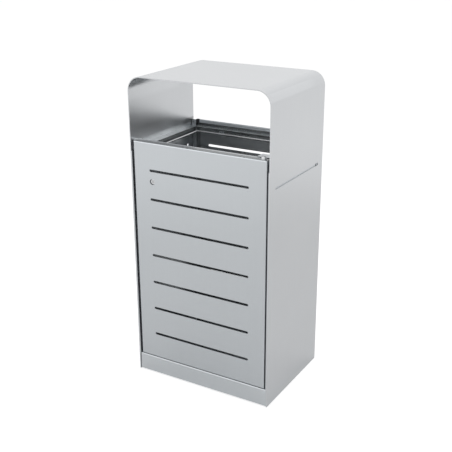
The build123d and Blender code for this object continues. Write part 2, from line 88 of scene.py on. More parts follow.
# Edges into which a nut's side is parted, to meet its round bore, and steps across a rounded edge.
NUT_SIDE_PARTS = 8
EDGE_STEPS = 2

# Where a thread's groove begins, is deepest and ends, as shares of the pitch.
GROOVE_SHARES = (0.2, 0.5, 0.8)

# Step between the scales of a weld bead, as a share of their radius.
BEAD_STEP_SHARE = 0.9

# How densely the belt's lines repeat along X, Y and Z: they run where the number is low.
WRAP_GRAIN = (4, 900, 4)
DOOR_GRAIN = (900, 4, 4)
PLINTH_GRAIN = (4, 4, 900)
PLATE_GRAIN = (300, 300, 20)
FOLD_GRAIN = (20, 300, 300)
BRIGHT_GRAIN = (150, 150, 150)
LOCK_GRAIN = (60, 60, 60)

# Strength of each surface's relief, and how deep the relief is.
OUTER_BUMP = 0.4
INNER_BUMP = 0.2
BRIGHT_BUMP = 0.3
CHROME_BUMP = 0.1
PEBBLE_BUMP = 0.3
GRAIN_DEPTH = 0.02 * MM
PEBBLE_DEPTH = 0.1 * MM

# Detail of the grain's lines, scale and detail of the cloudy marks, and how far the pebbled
# skin's roughness wanders.
LINE_DETAIL = 3.0
CLOUD_SCALE = 5.0
CLOUD_DETAIL = 2.0
PEBBLE_SPREAD = 0.2

# Zones painted darker as painted shade, or lighter where the strength is negative as painted
# light and painted reflection. Each has its low corner, its high corner and the width of its soft
# edge in millimetres, then its strength. X counts on both sides.
WRAP_PAINTED_SHADING = [
    # painted light on the inner face under the roof, a painted reflection on the same face beside
    # the door's top, and painted shade on its rear foot
    ((230, -190, 925), (242.5, 100, 1010), (1, 60, 15), -0.06),
    ((230, -190, 760), (242.5, 40, 815), (1, 60, 30), -0.5),
    ((230, 120, 790), (242.5, 190, 806), (1, 30, 5), 0.45)]
DOOR_PAINTED_SHADE = [
    # painted shade on the fold along the top, and on the edge of the lock's hole
    ((-9, -174, 800), (260, -150, 810), (2, 1, 1), 0.6),
    ((155, -178.4, 668), (176, -176.95, 688), (0.1, 0.1, 0.1), 0.6)]
REAR_PAINTED_SHADING = [
    # painted shade on the inner face below the hem, painted light on the hem itself, painted shade
    # on the side flanges, and more on the flanges' tops
    ((-9, 175, 763.5), (214, 178.6, 793.5), (2, 0.8, 14), 0.8),
    ((-9, 172, 786), (214, 174.6, 812), (2, 0.5, 12), -0.22),
    ((213, 168, 50), (226.8, 179, 810), (1, 0.8, 2), 0.3),
    ((213, 168, 778), (226.8, 179, 810), (1, 0.8, 4), 0.72)]
COLLAR_PAINTED_SHADING = [
    # painted shade on the folded-down walls, painted light on the rear ledge, and painted shade on
    # the side ledges
    ((-9, -160, 740), (260, 170, 779.2), (2, 2, 0.6), 0.5),
    ((-9, 150, 779), (212, 190, 790), (2, 2, 0.4), -0.5),
    ((200, -170, 779), (250, 20, 790), (2, 80, 0.4), 0.2)]
RAIL_PAINTED_SHADE = [
    # painted shade on the top of the rail and of the corner plate
    ((-9, -170, 797), (260, -120, 810), (2, 2, 1), 0.16)]


# Sizes and colours a user may change, and first what properties of one kind have in common

COLOUR = {"subtype": "COLOR", "size": 3, "min": 0, "max": 1}
SHARE = {"subtype": "FACTOR", "min": 0, "max": 1}
PLACE = {"subtype": "TRANSLATION", "unit": "LENGTH", "size": 3}


class SteelSettings(bpy.types.PropertyGroup):
    """Colours and gloss of the satin steel."""
    wrap_colour: FloatVectorProperty(
        name="Wrap", description="Colour of the bent outer sheet",
        default=(0.60, 0.613, 0.628), **COLOUR)
    door_colour: FloatVectorProperty(
        name="Door", description="Colour of the door and the rear panel",
        default=(0.556, 0.582, 0.603), **COLOUR)
    plinth_colour: FloatVectorProperty(
        name="Plinths", description="Colour of the front and rear plinths",
        default=(0.62, 0.645, 0.665), **COLOUR)
    collar_colour: FloatVectorProperty(
        name="Collar", description="Colour of the folded collar",
        default=(0.57, 0.60, 0.615), **COLOUR)
    inner_colour: FloatVectorProperty(
        name="Inner sheets", description="Colour of the plates, rail and jambs",
        default=(0.58, 0.605, 0.625), **COLOUR)
    bright_colour: FloatVectorProperty(
        name="Bright parts", description="Colour of the pins, rivets, ring, beads and lock",
        default=(0.56, 0.57, 0.58), **COLOUR)
    outer_roughness: FloatProperty(
        name="Satin", description="How dull the outer steel is", default=0.30, **SHARE)
    rear_dulling: FloatProperty(
        name="Rear dulling", description="How much duller the rear panel is than the door",
        default=0.14, **SHARE)
    inner_roughness: FloatProperty(
        name="Inner satin", description="How dull the inner steel is", default=0.28, **SHARE)
    bright_roughness: FloatProperty(
        name="Bright finish", description="How dull the bright parts are", default=0.22, **SHARE)
    chrome_roughness: FloatProperty(
        name="Lock finish", description="How dull the lock's chrome is", default=0.16, **SHARE)
    nut_colour: FloatVectorProperty(
        name="Weld nut", description="Colour of the nut that is welded behind the door",
        default=(0.20, 0.21, 0.22), **COLOUR)
    nut_roughness: FloatProperty(
        name="Nut finish", description="How dull the weld nut is", default=0.5, **SHARE)
    nut_metal: FloatProperty(
        name="Nut metal", description="Share of the weld nut's shine that is bare metal",
        default=0.8, **SHARE)
    grain: FloatProperty(
        name="Grain", description="Strength of the fine lines left by the belt",
        default=0.05, **SHARE)
    marks: FloatProperty(
        name="Marks", description="Strength of the faint cloudy handling marks",
        default=0.04, **SHARE)
    metal: FloatProperty(
        name="Metal", description="Share of the sheets' shine that is bare metal",
        default=0.94, **SHARE)


class MouldedSettings(bpy.types.PropertyGroup):
    """Colours and gloss of the nylon and rubber parts."""
    nylon_colour: FloatVectorProperty(
        name="Nylon", description="Colour of the bushes and the grip",
        default=(0.03, 0.03, 0.032), **COLOUR)
    nylon_roughness: FloatProperty(
        name="Nylon finish", description="How dull the nylon is", default=0.5, **SHARE)
    nylon_pebbles: FloatProperty(
        name="Nylon pebbles", description="How fine the nylon's skin is", min=0, default=900.0)
    rubber_colour: FloatVectorProperty(
        name="Rubber", description="Colour of the door buffers",
        default=(0.02, 0.02, 0.02), **COLOUR)
    rubber_roughness: FloatProperty(
        name="Rubber finish", description="How dull the rubber is", default=0.7, **SHARE)
    rubber_pebbles: FloatProperty(
        name="Rubber pebbles", description="How fine the rubber's skin is", min=0, default=600.0)


class FittingSettings(bpy.types.PropertyGroup):
    """Sizes of what is modelled here, in millimetres."""
    rivet_radius: FloatProperty(
        name="Rivet head", description="Radius of the collar rivets' heads", min=1, default=4.0)
    rivet_height: FloatProperty(
        name="Rivet crown", description="Height of the collar rivets' heads", min=0.2, default=1.7)
    thread_pitch: FloatProperty(
        name="Thread pitch", description="Pitch of the lock barrel's thread", min=0.5,
        default=1.5)
    bar_overhang: FloatProperty(
        name="Bar overhang", description="How far the ring's rear bar passes its legs", min=0,
        default=9.0)
    weld_radius: FloatProperty(
        name="Weld bead", description="Radius of the weld beads", min=0.3, default=1.3)
    slot_reach: FloatProperty(
        name="Slot reach", description="How much further back the side slots run", min=0,
        default=54.0)
    hole_reach: FloatProperty(
        name="Hole reach", description="How much further back the holes behind them lie", min=0,
        default=50.0)
    turns: IntProperty(
        name="Round steps", description="Steps round the turned pieces", min=12, default=48)


class StageSettings(bpy.types.PropertyGroup):
    """Light, floor and camera."""
    key_power: FloatProperty(
        name="Key lamp", description="Power of the large lamp at the front left", subtype="POWER",
        min=0, default=16.0)
    top_power: FloatProperty(
        name="Top lamp", description="Power of the lamp above the bin", subtype="POWER",
        min=0, default=22.0)
    key_size: FloatProperty(
        name="Key size", description="Side of the large lamp", subtype="DISTANCE", min=0,
        default=2.5)
    top_size: FloatProperty(
        name="Top size", description="Side of the lamp above the bin", subtype="DISTANCE", min=0,
        default=2.0)
    key_place: FloatVectorProperty(
        name="Key place", description="Place of the large lamp",
        default=(-1.8, -2.6, 2.6), **PLACE)
    top_place: FloatVectorProperty(
        name="Top place", description="Place of the lamp above the bin",
        default=(0.3, 0.4, 3.2), **PLACE)
    sky_level: FloatProperty(
        name="Sky", description="Level of the even light from all round", min=0, default=0.82)
    floor_lift: FloatProperty(
        name="Floor lift", description="Extra white of the floor as the camera sees it", min=0,
        default=0.42)
    mirrored_lift: FloatProperty(
        name="Mirrored lift", description="Extra white of the far floor as the steel mirrors it",
        min=0, default=0.36)
    near_lift: FloatProperty(
        name="Near lift", description="Extra white of the near floor as the steel mirrors it",
        min=0, default=0.055)
    near_floor: FloatProperty(
        name="Near floor", description="Where the far floor begins to whiten", subtype="DISTANCE",
        min=0, default=1.7)
    far_floor: FloatProperty(
        name="Far floor", description="Where the far floor is white", subtype="DISTANCE",
        min=0, default=2.9)
    floor_colour: FloatVectorProperty(
        name="Floor", description="Colour of the floor", default=(0.9, 0.9, 0.9), **COLOUR)
    floor_roughness: FloatProperty(
        name="Floor finish", description="How dull the floor is", default=0.9, **SHARE)
    floor_reach: FloatProperty(
        name="Floor reach", description="How far the floor runs each way", subtype="DISTANCE",
        min=1, default=30.0)
    lens: FloatProperty(
        name="Lens", description="Focal length in millimetres", min=1, default=64.49)
    sensor_width: FloatProperty(
        name="Sensor", description="Width of the camera's sensor in millimetres", min=1,
        default=36.0)
    azimuth: FloatProperty(
        name="Azimuth", description="Turn of the camera round the bin", subtype="ANGLE",
        default=math.radians(30.49))
    elevation: FloatProperty(
        name="Elevation", description="Height of the camera as an angle", subtype="ANGLE",
        default=math.radians(20.64))
    roll: FloatProperty(
        name="Roll", description="Tilt of the camera", subtype="ANGLE",
        default=math.radians(-0.23))
    camera_place: FloatVectorProperty(
        name="Camera", description="Place of the camera",
        default=(1.2430, -2.1234, 1.4324), **PLACE)


# Node groups

def new_group(name, inputs, outputs):
    """A node group with named sockets; returns the group and its two end nodes."""
    group = bpy.data.node_groups.new(name, "ShaderNodeTree")
    for label, kind in inputs:
        group.interface.new_socket(label, in_out="INPUT", socket_type=kind)
    for label, kind in outputs:
        group.interface.new_socket(label, in_out="OUTPUT", socket_type=kind)
    return group, group.nodes.new("NodeGroupInput"), group.nodes.new("NodeGroupOutput")


def math_node(tree, operation, first, second):
    """A math node fed by sockets or plain numbers; returns its result."""
    node = tree.nodes.new("ShaderNodeMath")
    node.operation = operation
    for socket, value in zip(node.inputs, (first, second)):
        if isinstance(value, (int, float)):
            socket.default_value = value
        else:
            tree.links.new(value, socket)
    return node.outputs["Value"]


def vector_node(tree, operation, first, second=None):
    """A vector math node fed by sockets or plain vectors; returns its vector."""
    node = tree.nodes.new("ShaderNodeVectorMath")
    node.operation = operation
    for socket, value in zip(node.inputs, (first, second)):
        if isinstance(value, tuple):
            socket.default_value = value
        elif value is not None:
            tree.links.new(value, socket)
    return node.outputs["Vector"]


def noise(tree, vector, scale, detail):
    """A noise texture's value."""
    node = tree.nodes.new("ShaderNodeTexNoise")
    node.inputs["Scale"].default_value = scale
    node.inputs["Detail"].default_value = detail
    tree.links.new(vector, node.inputs["Vector"])
    return node.outputs["Fac"]


def swing(tree, value, strength):
    """How far a noise's value stands from its mean of one half, times a strength."""
    return math_node(tree, "MULTIPLY", math_node(tree, "SUBTRACT", value, 0.5), strength)


def steel_grain_group():
    """Fine parallel lines and faint clouds for satin steel."""
    group, start, end = new_group(
        "Steel grain",
        [("Vector", "NodeSocketVector"), ("Stretch", "NodeSocketVector"),
         ("Colour", "NodeSocketColor"), ("Roughness", "NodeSocketFloat"),
         ("Grain", "NodeSocketFloat"), ("Marks", "NodeSocketFloat"),
         ("Shade", "NodeSocketFloat")],
        [("Colour", "NodeSocketColor"), ("Roughness", "NodeSocketFloat"),
         ("Height", "NodeSocketFloat")])
    stretched = vector_node(group, "MULTIPLY", start.outputs["Vector"], start.outputs["Stretch"])
    lines = noise(group, stretched, 1.0, LINE_DETAIL)
    clouds = noise(group, start.outputs["Vector"], CLOUD_SCALE, CLOUD_DETAIL)
    change = math_node(group, "ADD", swing(group, lines, start.outputs["Grain"]),
                       swing(group, clouds, start.outputs["Marks"]))
    # the Shade input scales the colour by painted shade and painted light
    tone = math_node(group, "MULTIPLY", math_node(group, "ADD", change, 1.0),
                     start.outputs["Shade"])
    tint = group.nodes.new("ShaderNodeVectorMath")
    tint.operation = "SCALE"
    group.links.new(start.outputs["Colour"], tint.inputs[0])
    group.links.new(tone, tint.inputs["Scale"])
    group.links.new(tint.outputs["Vector"], end.inputs["Colour"])
    rough = math_node(group, "SUBTRACT", start.outputs["Roughness"], change)
    group.links.new(rough, end.inputs["Roughness"])
    group.links.new(lines, end.inputs["Height"])
    return group


def zone_group():
    """A soft-edged box, the same on both sides of the bin: 1 inside, 0 outside."""
    group, start, end = new_group(
        "Soft zone",
        [("Vector", "NodeSocketVector"), ("Middle", "NodeSocketVector"),
         ("Half", "NodeSocketVector"), ("Soft", "NodeSocketVector")],
        [("Mask", "NodeSocketFloat")])
    parts = group.nodes.new("ShaderNodeSeparateXYZ")
    group.links.new(start.outputs["Vector"], parts.inputs["Vector"])
    folded = group.nodes.new("ShaderNodeCombineXYZ")
    group.links.new(math_node(group, "ABSOLUTE", parts.outputs["X"], 0.0), folded.inputs["X"])
    group.links.new(parts.outputs["Y"], folded.inputs["Y"])
    group.links.new(parts.outputs["Z"], folded.inputs["Z"])
    away = vector_node(group, "SUBTRACT", folded.outputs["Vector"], start.outputs["Middle"])
    away = vector_node(group, "ABSOLUTE", away)
    inside = vector_node(group, "SUBTRACT", start.outputs["Half"], away)
    inside = vector_node(group, "DIVIDE", inside, start.outputs["Soft"])
    inside = vector_node(group, "ADD", inside, (0.5, 0.5, 0.5))
    inside = vector_node(group, "MAXIMUM", inside, (0.0, 0.0, 0.0))
    inside = vector_node(group, "MINIMUM", inside, (1.0, 1.0, 1.0))
    sides = group.nodes.new("ShaderNodeSeparateXYZ")
    group.links.new(inside, sides.inputs["Vector"])
    product = math_node(group, "MULTIPLY", sides.outputs["X"], sides.outputs["Y"])
    product = math_node(group, "MULTIPLY", product, sides.outputs["Z"])
    group.links.new(product, end.inputs["Mask"])
    return group


def moulded_group():
    """The fine pebbled skin of moulded nylon and rubber."""
    group, start, end = new_group(
        "Moulded skin",
        [("Vector", "NodeSocketVector"), ("Roughness", "NodeSocketFloat"),
         ("Pebble size", "NodeSocketFloat")],
        [("Roughness", "NodeSocketFloat"), ("Height", "NodeSocketFloat")])
    pebble = group.nodes.new("ShaderNodeTexNoise")
    group.links.new(start.outputs["Vector"], pebble.inputs["Vector"])
    group.links.new(start.outputs["Pebble size"], pebble.inputs["Scale"])
    change = swing(group, pebble.outputs["Fac"], PEBBLE_SPREAD)
    group.links.new(math_node(group, "ADD", start.outputs["Roughness"], change),
                    end.inputs["Roughness"])
    group.links.new(pebble.outputs["Fac"], end.inputs["Height"])
    return group


# Materials

def group_in(material, group):
    """Places a node group in a material, fed by Object coordinates; returns the group node."""
    tree = material.node_tree
    place = tree.nodes.new("ShaderNodeTexCoord")
    node = tree.nodes.new("ShaderNodeGroup")
    node.node_tree = group
    tree.links.new(place.outputs["Object"], node.inputs["Vector"])
    return node


def bump_in(material, height, strength, distance):
    """A bump from a height, linked to the shader's normal."""
    tree = material.node_tree
    bump = tree.nodes.new("ShaderNodeBump")
    bump.inputs["Strength"].default_value = strength
    bump.inputs["Distance"].default_value = distance
    tree.links.new(height, bump.inputs["Height"])
    tree.links.new(bump.outputs["Normal"], tree.nodes["Principled BSDF"].inputs["Normal"])


def shade_in(material, zones):
    """The factor by which a sheet's zones of painted shade darken it, or painted light lightens it
    where negative.
    """
    tree = material.node_tree
    place = tree.nodes.new("ShaderNodeTexCoord")
    shade = 1.0
    for low, high, soft, strength in zones:
        zone = tree.nodes.new("ShaderNodeGroup")
        zone.node_tree = bpy.data.node_groups["Soft zone"]
        tree.links.new(place.outputs["Object"], zone.inputs["Vector"])
        low, high = Vector(low) * MM, Vector(high) * MM
        zone.inputs["Middle"].default_value = (low + high) / 2
        zone.inputs["Half"].default_value = (high - low) / 2
        zone.inputs["Soft"].default_value = Vector(soft) * MM
        part = math_node(tree, "MULTIPLY", zone.outputs["Mask"], strength)
        shade = math_node(tree, "MULTIPLY", math_node(tree, "SUBTRACT", 1.0, part), shade)
    return shade


def steel_material(name, colour, roughness, stretch, bump, zones=(), metal=1.0):
    """Satin steel with its grain along one direction of the sheet."""
    settings = bpy.context.scene.bin_steel
    material = bpy.data.materials.new(name)
    material.use_nodes = True
    tree = material.node_tree
    shader = tree.nodes["Principled BSDF"]
    shader.inputs["Metallic"].default_value = metal
    node = group_in(material, bpy.data.node_groups["Steel grain"])
    node.inputs["Stretch"].default_value = stretch
    node.inputs["Colour"].default_value = (*colour, 1.0)
    node.inputs["Roughness"].default_value = roughness
    node.inputs["Grain"].default_value = settings.grain
    node.inputs["Marks"].default_value = settings.marks
    node.inputs["Shade"].default_value = 1.0
    # the zones paint shade and light into the colour
    if zones:
        tree.links.new(shade_in(material, zones), node.inputs["Shade"])
    tree.links.new(node.outputs["Colour"], shader.inputs["Base Color"])
    tree.links.new(node.outputs["Roughness"], shader.inputs["Roughness"])
    bump_in(material, node.outputs["Height"], bump, GRAIN_DEPTH)
    return material


def moulded_material(name, colour, roughness, pebble_size):
    """Dark nylon or rubber."""
    material = bpy.data.materials.new(name)
    material.use_nodes = True
    tree = material.node_tree
    shader = tree.nodes["Principled BSDF"]
    shader.inputs["Base Color"].default_value = (*colour, 1.0)
    node = group_in(material, bpy.data.node_groups["Moulded skin"])
    node.inputs["Roughness"].default_value = roughness
    node.inputs["Pebble size"].default_value = pebble_size
    tree.links.new(node.outputs["Roughness"], shader.inputs["Roughness"])
    bump_in(material, node.outputs["Height"], PEBBLE_BUMP, PEBBLE_DEPTH)
    return material


def dress(material, *nodes):
    """Gives CAD nodes a finished material."""
    for name in nodes:
        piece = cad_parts[name]
        piece.data.materials.clear()
        piece.data.materials.append(material)


# Mesh making

def turned(profile, steps):
    """A shape spun round Z from (radius, height) points in millimetres."""
    shape = bmesh.new()
    points = [shape.verts.new((radius * MM, 0, height * MM)) for radius, height in profile]
    edges = [shape.edges.new(pair) for pair in zip(points, points[1:])]
    bmesh.ops.spin(shape, geom=points + edges, cent=(0, 0, 0), axis=(0, 0, 1), dvec=(0, 0, 0),
                   angle=FULL_TURN, steps=steps, use_merge=True, use_duplicate=False)
    bmesh.ops.remove_doubles(shape, verts=shape.verts[:], dist=MERGE_DISTANCE)
    bmesh.ops.recalc_face_normals(shape, faces=shape.faces[:])
    return shape


def raised(outline, height, edge_radius, segments=EDGE_STEPS):
    """A flat outline in millimetres raised along Z, with every edge rounded."""
    shape = bmesh.new()
    base = shape.faces.new([shape.verts.new((x * MM, y * MM, 0)) for x, y in outline])
    grown = bmesh.ops.extrude_face_region(shape, geom=[base])
    tops = [item for item in grown["geom"] if isinstance(item, bmesh.types.BMVert)]
    bmesh.ops.translate(shape, verts=tops, vec=(0, 0, height * MM))
    bmesh.ops.bevel(shape, geom=shape.edges[:], offset=edge_radius * MM, segments=segments,
                    profile=0.5, affect="EDGES", material=-1, clamp_overlap=True)
    bmesh.ops.recalc_face_normals(shape, faces=shape.faces[:])
    return shape


def hexagon(across_flats):
    """The corners of a hexagon round the origin."""
    radius = across_flats / math.sqrt(3)
    angles = [FULL_TURN * k / 6 for k in range(6)]
    return [(radius * math.cos(angle), radius * math.sin(angle)) for angle in angles]


def pierced_nut(across_flats, height, bore, edge_radius):
    """A hexagon nut raised along Z round its bore, with its sharp edges rounded."""
    shape = bmesh.new()
    bmesh.ops.create_circle(shape, cap_ends=False, segments=6,
                            radius=across_flats / math.sqrt(3) * MM,
                            matrix=Matrix.Rotation(FULL_TURN / 12, 4, "Z"))
    bmesh.ops.subdivide_edges(shape, edges=shape.edges[:], cuts=NUT_SIDE_PARTS - 1)
    bmesh.ops.create_circle(shape, cap_ends=False, segments=6 * NUT_SIDE_PARTS, radius=bore * MM)
    bridged = bmesh.ops.bridge_loops(shape, edges=shape.edges[:])
    grown = bmesh.ops.extrude_face_region(shape, geom=bridged["faces"])
    tops = [item for item in grown["geom"] if isinstance(item, bmesh.types.BMVert)]
    bmesh.ops.translate(shape, verts=tops, vec=(0, 0, height * MM))
    bmesh.ops.recalc_face_normals(shape, faces=shape.faces[:])
    sharp = [edge for edge in shape.edges if edge.calc_face_angle(0) > CORNER_ANGLE]
    bmesh.ops.bevel(shape, geom=sharp, offset=edge_radius * MM, segments=EDGE_STEPS,
                    profile=0.5, affect="EDGES", material=-1, clamp_overlap=True)
    bmesh.ops.recalc_face_normals(shape, faces=shape.faces[:])
    return shape


def dome(radius, low, height, steps=6):
    """Profile points from the rim of a dome to its top."""
    quarter = [math.pi / 2 * k / steps for k in range(steps + 1)]
    return [(radius * math.cos(angle), low + height * math.sin(angle)) for angle in quarter]


def thread(radius, depth, pitch, high, low):
    """Profile points of a thread's grooves, from its high end down to its low end."""
    begin, deepest, end = GROOVE_SHARES
    points = []
    while high > low:
        points += [(radius, high - begin * pitch), (radius - depth, high - deepest * pitch),
                   (radius, high - end * pitch)]
        high -= pitch
    return points


def gathered(shape, places):
    """Copies of a shape, one for each place, as one shape."""
    whole = bmesh.new()
    carrier = bpy.data.meshes.new("carrier")
    shape.to_mesh(carrier)
    shape.free()
    for place in places:
        before = len(whole.verts)
        whole.from_mesh(carrier)
        bmesh.ops.transform(whole, matrix=place, verts=whole.verts[before:])
    bpy.data.meshes.remove(carrier)
    return whole


def joined(*shapes):
    """Several shapes as one."""
    whole = bmesh.new()
    carrier = bpy.data.meshes.new("carrier")
    for shape in shapes:
        shape.to_mesh(carrier)
        whole.from_mesh(carrier)
        shape.free()
    bpy.data.meshes.remove(carrier)
    return whole


def reshaped(node, low, high, move):
    """A CAD node's closed copy, in which the points inside a box, in millimetres, move along."""
    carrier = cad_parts[node].data.copy()
    if "custom_normal" in carrier.attributes:
        carrier.attributes.remove(carrier.attributes["custom_normal"])
    shape = bmesh.new()
    shape.from_mesh(carrier)
    bpy.data.meshes.remove(carrier)
    bmesh.ops.remove_doubles(shape, verts=shape.verts[:], dist=MERGE_DISTANCE)
    bmesh.ops.dissolve_limit(shape, angle_limit=FLAT_ANGLE, verts=shape.verts[:],
                             edges=shape.edges[:])
    inside = [point for point in shape.verts
              if all(a * MM < c < b * MM for a, c, b in zip(low, point.co, high))]
    if not inside:
        raise RuntimeError("no point of " + node + " lies in the box")
    bmesh.ops.translate(shape, verts=inside, vec=Vector(move) * MM)
    bmesh.ops.triangulate(shape, faces=shape.faces[:])
    return shape


def at(x, y, z):
    """A plain move."""
    return Matrix.Translation((x, y, z))


# Turns that lay a shape's Z axis towards the front, or towards the rear.
TO_FRONT = Matrix.Rotation(math.radians(90), 4, "X")
TO_REAR = Matrix.Rotation(math.radians(-90), 4, "X")


def add_piece(name, shape, material, body, replaced=()):
    """Makes an object of a shape, with its finish, its body and the CAD nodes it stands for."""
    mesh = bpy.data.meshes.new(name)
    shape.to_mesh(mesh)
    shape.free()
    mesh.shade_smooth()
    mesh.set_sharp_from_angle(angle=SHARP_ANGLE)
    mesh.materials.append(bpy.data.materials[material])
    piece = bpy.data.objects.new(name, mesh)
    bpy.context.scene.collection.objects.link(piece)
    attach(piece, body)
    if replaced:
        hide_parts(*replaced)
    return piece


def middle_of(node):
    """The middle of a CAD node's box."""
    low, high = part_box(node)
    return (low + high) / 2


def weld_bead(start, end, radius):
    """A row of overlapping scales along a line."""
    line = Vector(end) - Vector(start)
    count = max(2, int(line.length / (BEAD_STEP_SHARE * radius)))
    scale = bmesh.new()
    bmesh.ops.create_icosphere(scale, subdivisions=2, radius=radius)
    return gathered(scale, [Matrix.Translation(Vector(start) + line * k / count)
                            for k in range(count + 1)])


# Operators

class BIN_OT_groups(bpy.types.Operator):
    """Builds the shared surface effects"""
    bl_idname = "bin.groups"
    bl_label = "Surface effects"

    def execute(self, context):
        steel_grain_group()
        zone_group()
        moulded_group()
        return {"FINISHED"}


class BIN_OT_outer_sheets(bpy.types.Operator):
    """Makes the wrap's satin steel, and gives the door, rear panel and plinths theirs"""
    bl_idname = "bin.outer_sheets"
    bl_label = "Outer sheets"

    def execute(self, context):
        steel = context.scene.bin_steel
        rough = steel.outer_roughness
        # the wrap, door and rear panel get painted shade and painted light from their zones
        steel_material("satin_steel_wrap", steel.wrap_colour, rough, WRAP_GRAIN, OUTER_BUMP,
                       WRAP_PAINTED_SHADING, steel.metal)
        door = steel_material("satin_steel_door", steel.door_colour, rough, DOOR_GRAIN,
                              OUTER_BUMP, DOOR_PAINTED_SHADE, steel.metal)
        rear = steel_material("satin_steel_rear", steel.door_colour, rough + steel.rear_dulling,
                              DOOR_GRAIN, OUTER_BUMP, REAR_PAINTED_SHADING, steel.metal)
        plinth = steel_material("satin_steel_plinth", steel.plinth_colour, rough, PLINTH_GRAIN,
                                OUTER_BUMP, metal=steel.metal)
        dress(door, "door_panel")
        dress(rear, "rear_panel")
        dress(plinth, "front_plinth", "rear_plinth")
        return {"FINISHED"}


class BIN_OT_inner_sheets(bpy.types.Operator):
    """Gives the inner sheets, the rail and the collar their steel"""
    bl_idname = "bin.inner_sheets"
    bl_label = "Inner sheets"

    def execute(self, context):
        steel = context.scene.bin_steel
        rough = steel.inner_roughness
        inner = steel_material("satin_steel_inner", steel.inner_colour, rough, PLATE_GRAIN,
                               INNER_BUMP, metal=steel.metal)
        # the collar gets painted shade and painted light, and the rail painted shade, from their
        # zones
        collar = steel_material("satin_steel_collar", steel.collar_colour, rough, FOLD_GRAIN,
                                INNER_BUMP, COLLAR_PAINTED_SHADING, steel.metal)
        rail = steel_material("satin_steel_rail", steel.inner_colour, rough, FOLD_GRAIN,
                              INNER_BUMP, RAIL_PAINTED_SHADE, steel.metal)
        dress(inner, *INNER_SHEETS)
        dress(collar, "bag_collar")
        dress(rail, "front_rail", "corner_plate")
        return {"FINISHED"}


class BIN_OT_side_slots(bpy.types.Operator):
    """Makes the wrap anew with longer side slots, and the inner plates with holes further back"""
    bl_idname = "bin.side_slots"
    bl_label = "Side slots"

    def execute(self, context):
        fittings = context.scene.bin_fittings
        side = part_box("outer_wrap")[1].x / MM + SLOT_MARGIN
        low, high = (-side, *SLOT_END[0]), (side, *SLOT_END[1])
        wrap = reshaped("outer_wrap", low, high, (0, fittings.slot_reach, 0))
        sheet = add_piece("wrap_long_slots", wrap, "satin_steel_wrap", "bin_body",
                          ["outer_wrap"])
        flat_sides = sheet.modifiers.new("Flat sides", "WEIGHTED_NORMAL")
        flat_sides.keep_sharp = True
        for node in INNER_PLATES:
            plate = reshaped(node, low, high, (0, fittings.hole_reach, 0))
            add_piece(node + "_moved_hole", plate, "satin_steel_inner", "bin_body",
                      [node])
        return {"FINISHED"}


class BIN_OT_fittings(bpy.types.Operator):
    """Makes the finishes of the small parts, and gives the pins, ring, cam and bushes theirs"""
    bl_idname = "bin.fittings"
    bl_label = "Fittings"

    def execute(self, context):
        steel = context.scene.bin_steel
        moulded = context.scene.bin_moulded
        bright = steel_material("bright_steel", steel.bright_colour, steel.bright_roughness,
                                BRIGHT_GRAIN, BRIGHT_BUMP)
        chrome = steel_material("lock_chrome", steel.bright_colour, steel.chrome_roughness,
                                LOCK_GRAIN, CHROME_BUMP)
        steel_material("weld_nut_steel", steel.nut_colour, steel.nut_roughness, LOCK_GRAIN,
                       BRIGHT_BUMP, metal=steel.nut_metal)
        nylon = moulded_material("black_nylon", moulded.nylon_colour, moulded.nylon_roughness,
                                 moulded.nylon_pebbles)
        moulded_material("black_rubber", moulded.rubber_colour, moulded.rubber_roughness,
                         moulded.rubber_pebbles)
        dress(bright, "pivot_pin_lower", "pivot_washer", "bag_ring", "lock_cam")
        dress(chrome, "lock_plug")
        dress(nylon, "hinge_bush_upper", "hinge_bush_lower", "thrust_washer")
        return {"FINISHED"}


class BIN_OT_pivot_pin(bpy.types.Operator):
    """Models the upper pivot pin with its domed head, and its push-on ring"""
    bl_idname = "bin.pivot_pin"
    bl_label = "Pivot pin"

    def execute(self, context):
        turns = context.scene.bin_fittings.turns
        crown_steps = 10
        # the pin's sizes in millimetres, with the shank as a radius
        shank = 4.0
        tip_chamfer = 0.6
        head_edge = 0.4
        rim_height = 3.0
        # the ring's, with the shoulder as a radius and both drops from its top
        ring_gap = 0.02
        shoulder = 5.2
        sheet = 0.4
        crest_drop = 0.1
        lip_drop = 0.5
        middle = middle_of("pivot_pin_upper")
        on_axis = [at(middle.x, middle.y, 0)]
        low, high = (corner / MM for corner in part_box("pivot_pin_upper"))
        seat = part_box("pivot_washer")[1].z / MM
        head = (high.x - low.x) / 2
        rim = seat + rim_height
        profile = [(0, low.z), (shank - tip_chamfer, low.z), (shank, low.z + tip_chamfer),
                   (shank, seat), (head - head_edge, seat), (head, seat + head_edge)]
        pin = turned(profile + dome(head, rim, high.z - rim, crown_steps), turns)
        add_piece("pivot_pin_domed", gathered(pin, on_axis), "bright_steel", "door",
                  ["pivot_pin_upper"])
        low, high = (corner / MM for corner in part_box("pivot_pin_retainer"))
        bore, outer = shank + ring_gap, (high.x - low.x) / 2
        crest, lip = high.z - crest_drop, high.z - lip_drop
        ring = [(bore, lip), (shoulder, crest), (outer - sheet / 2, low.z + sheet),
                (outer, low.z + sheet / 2), (outer - sheet / 2, low.z),
                (shoulder, crest - sheet), (bore, lip - sheet), (bore, lip)]
        add_piece("push_on_ring", gathered(turned(ring, turns), on_axis), "bright_steel", "door",
                  ["pivot_pin_retainer"])
        return {"FINISHED"}


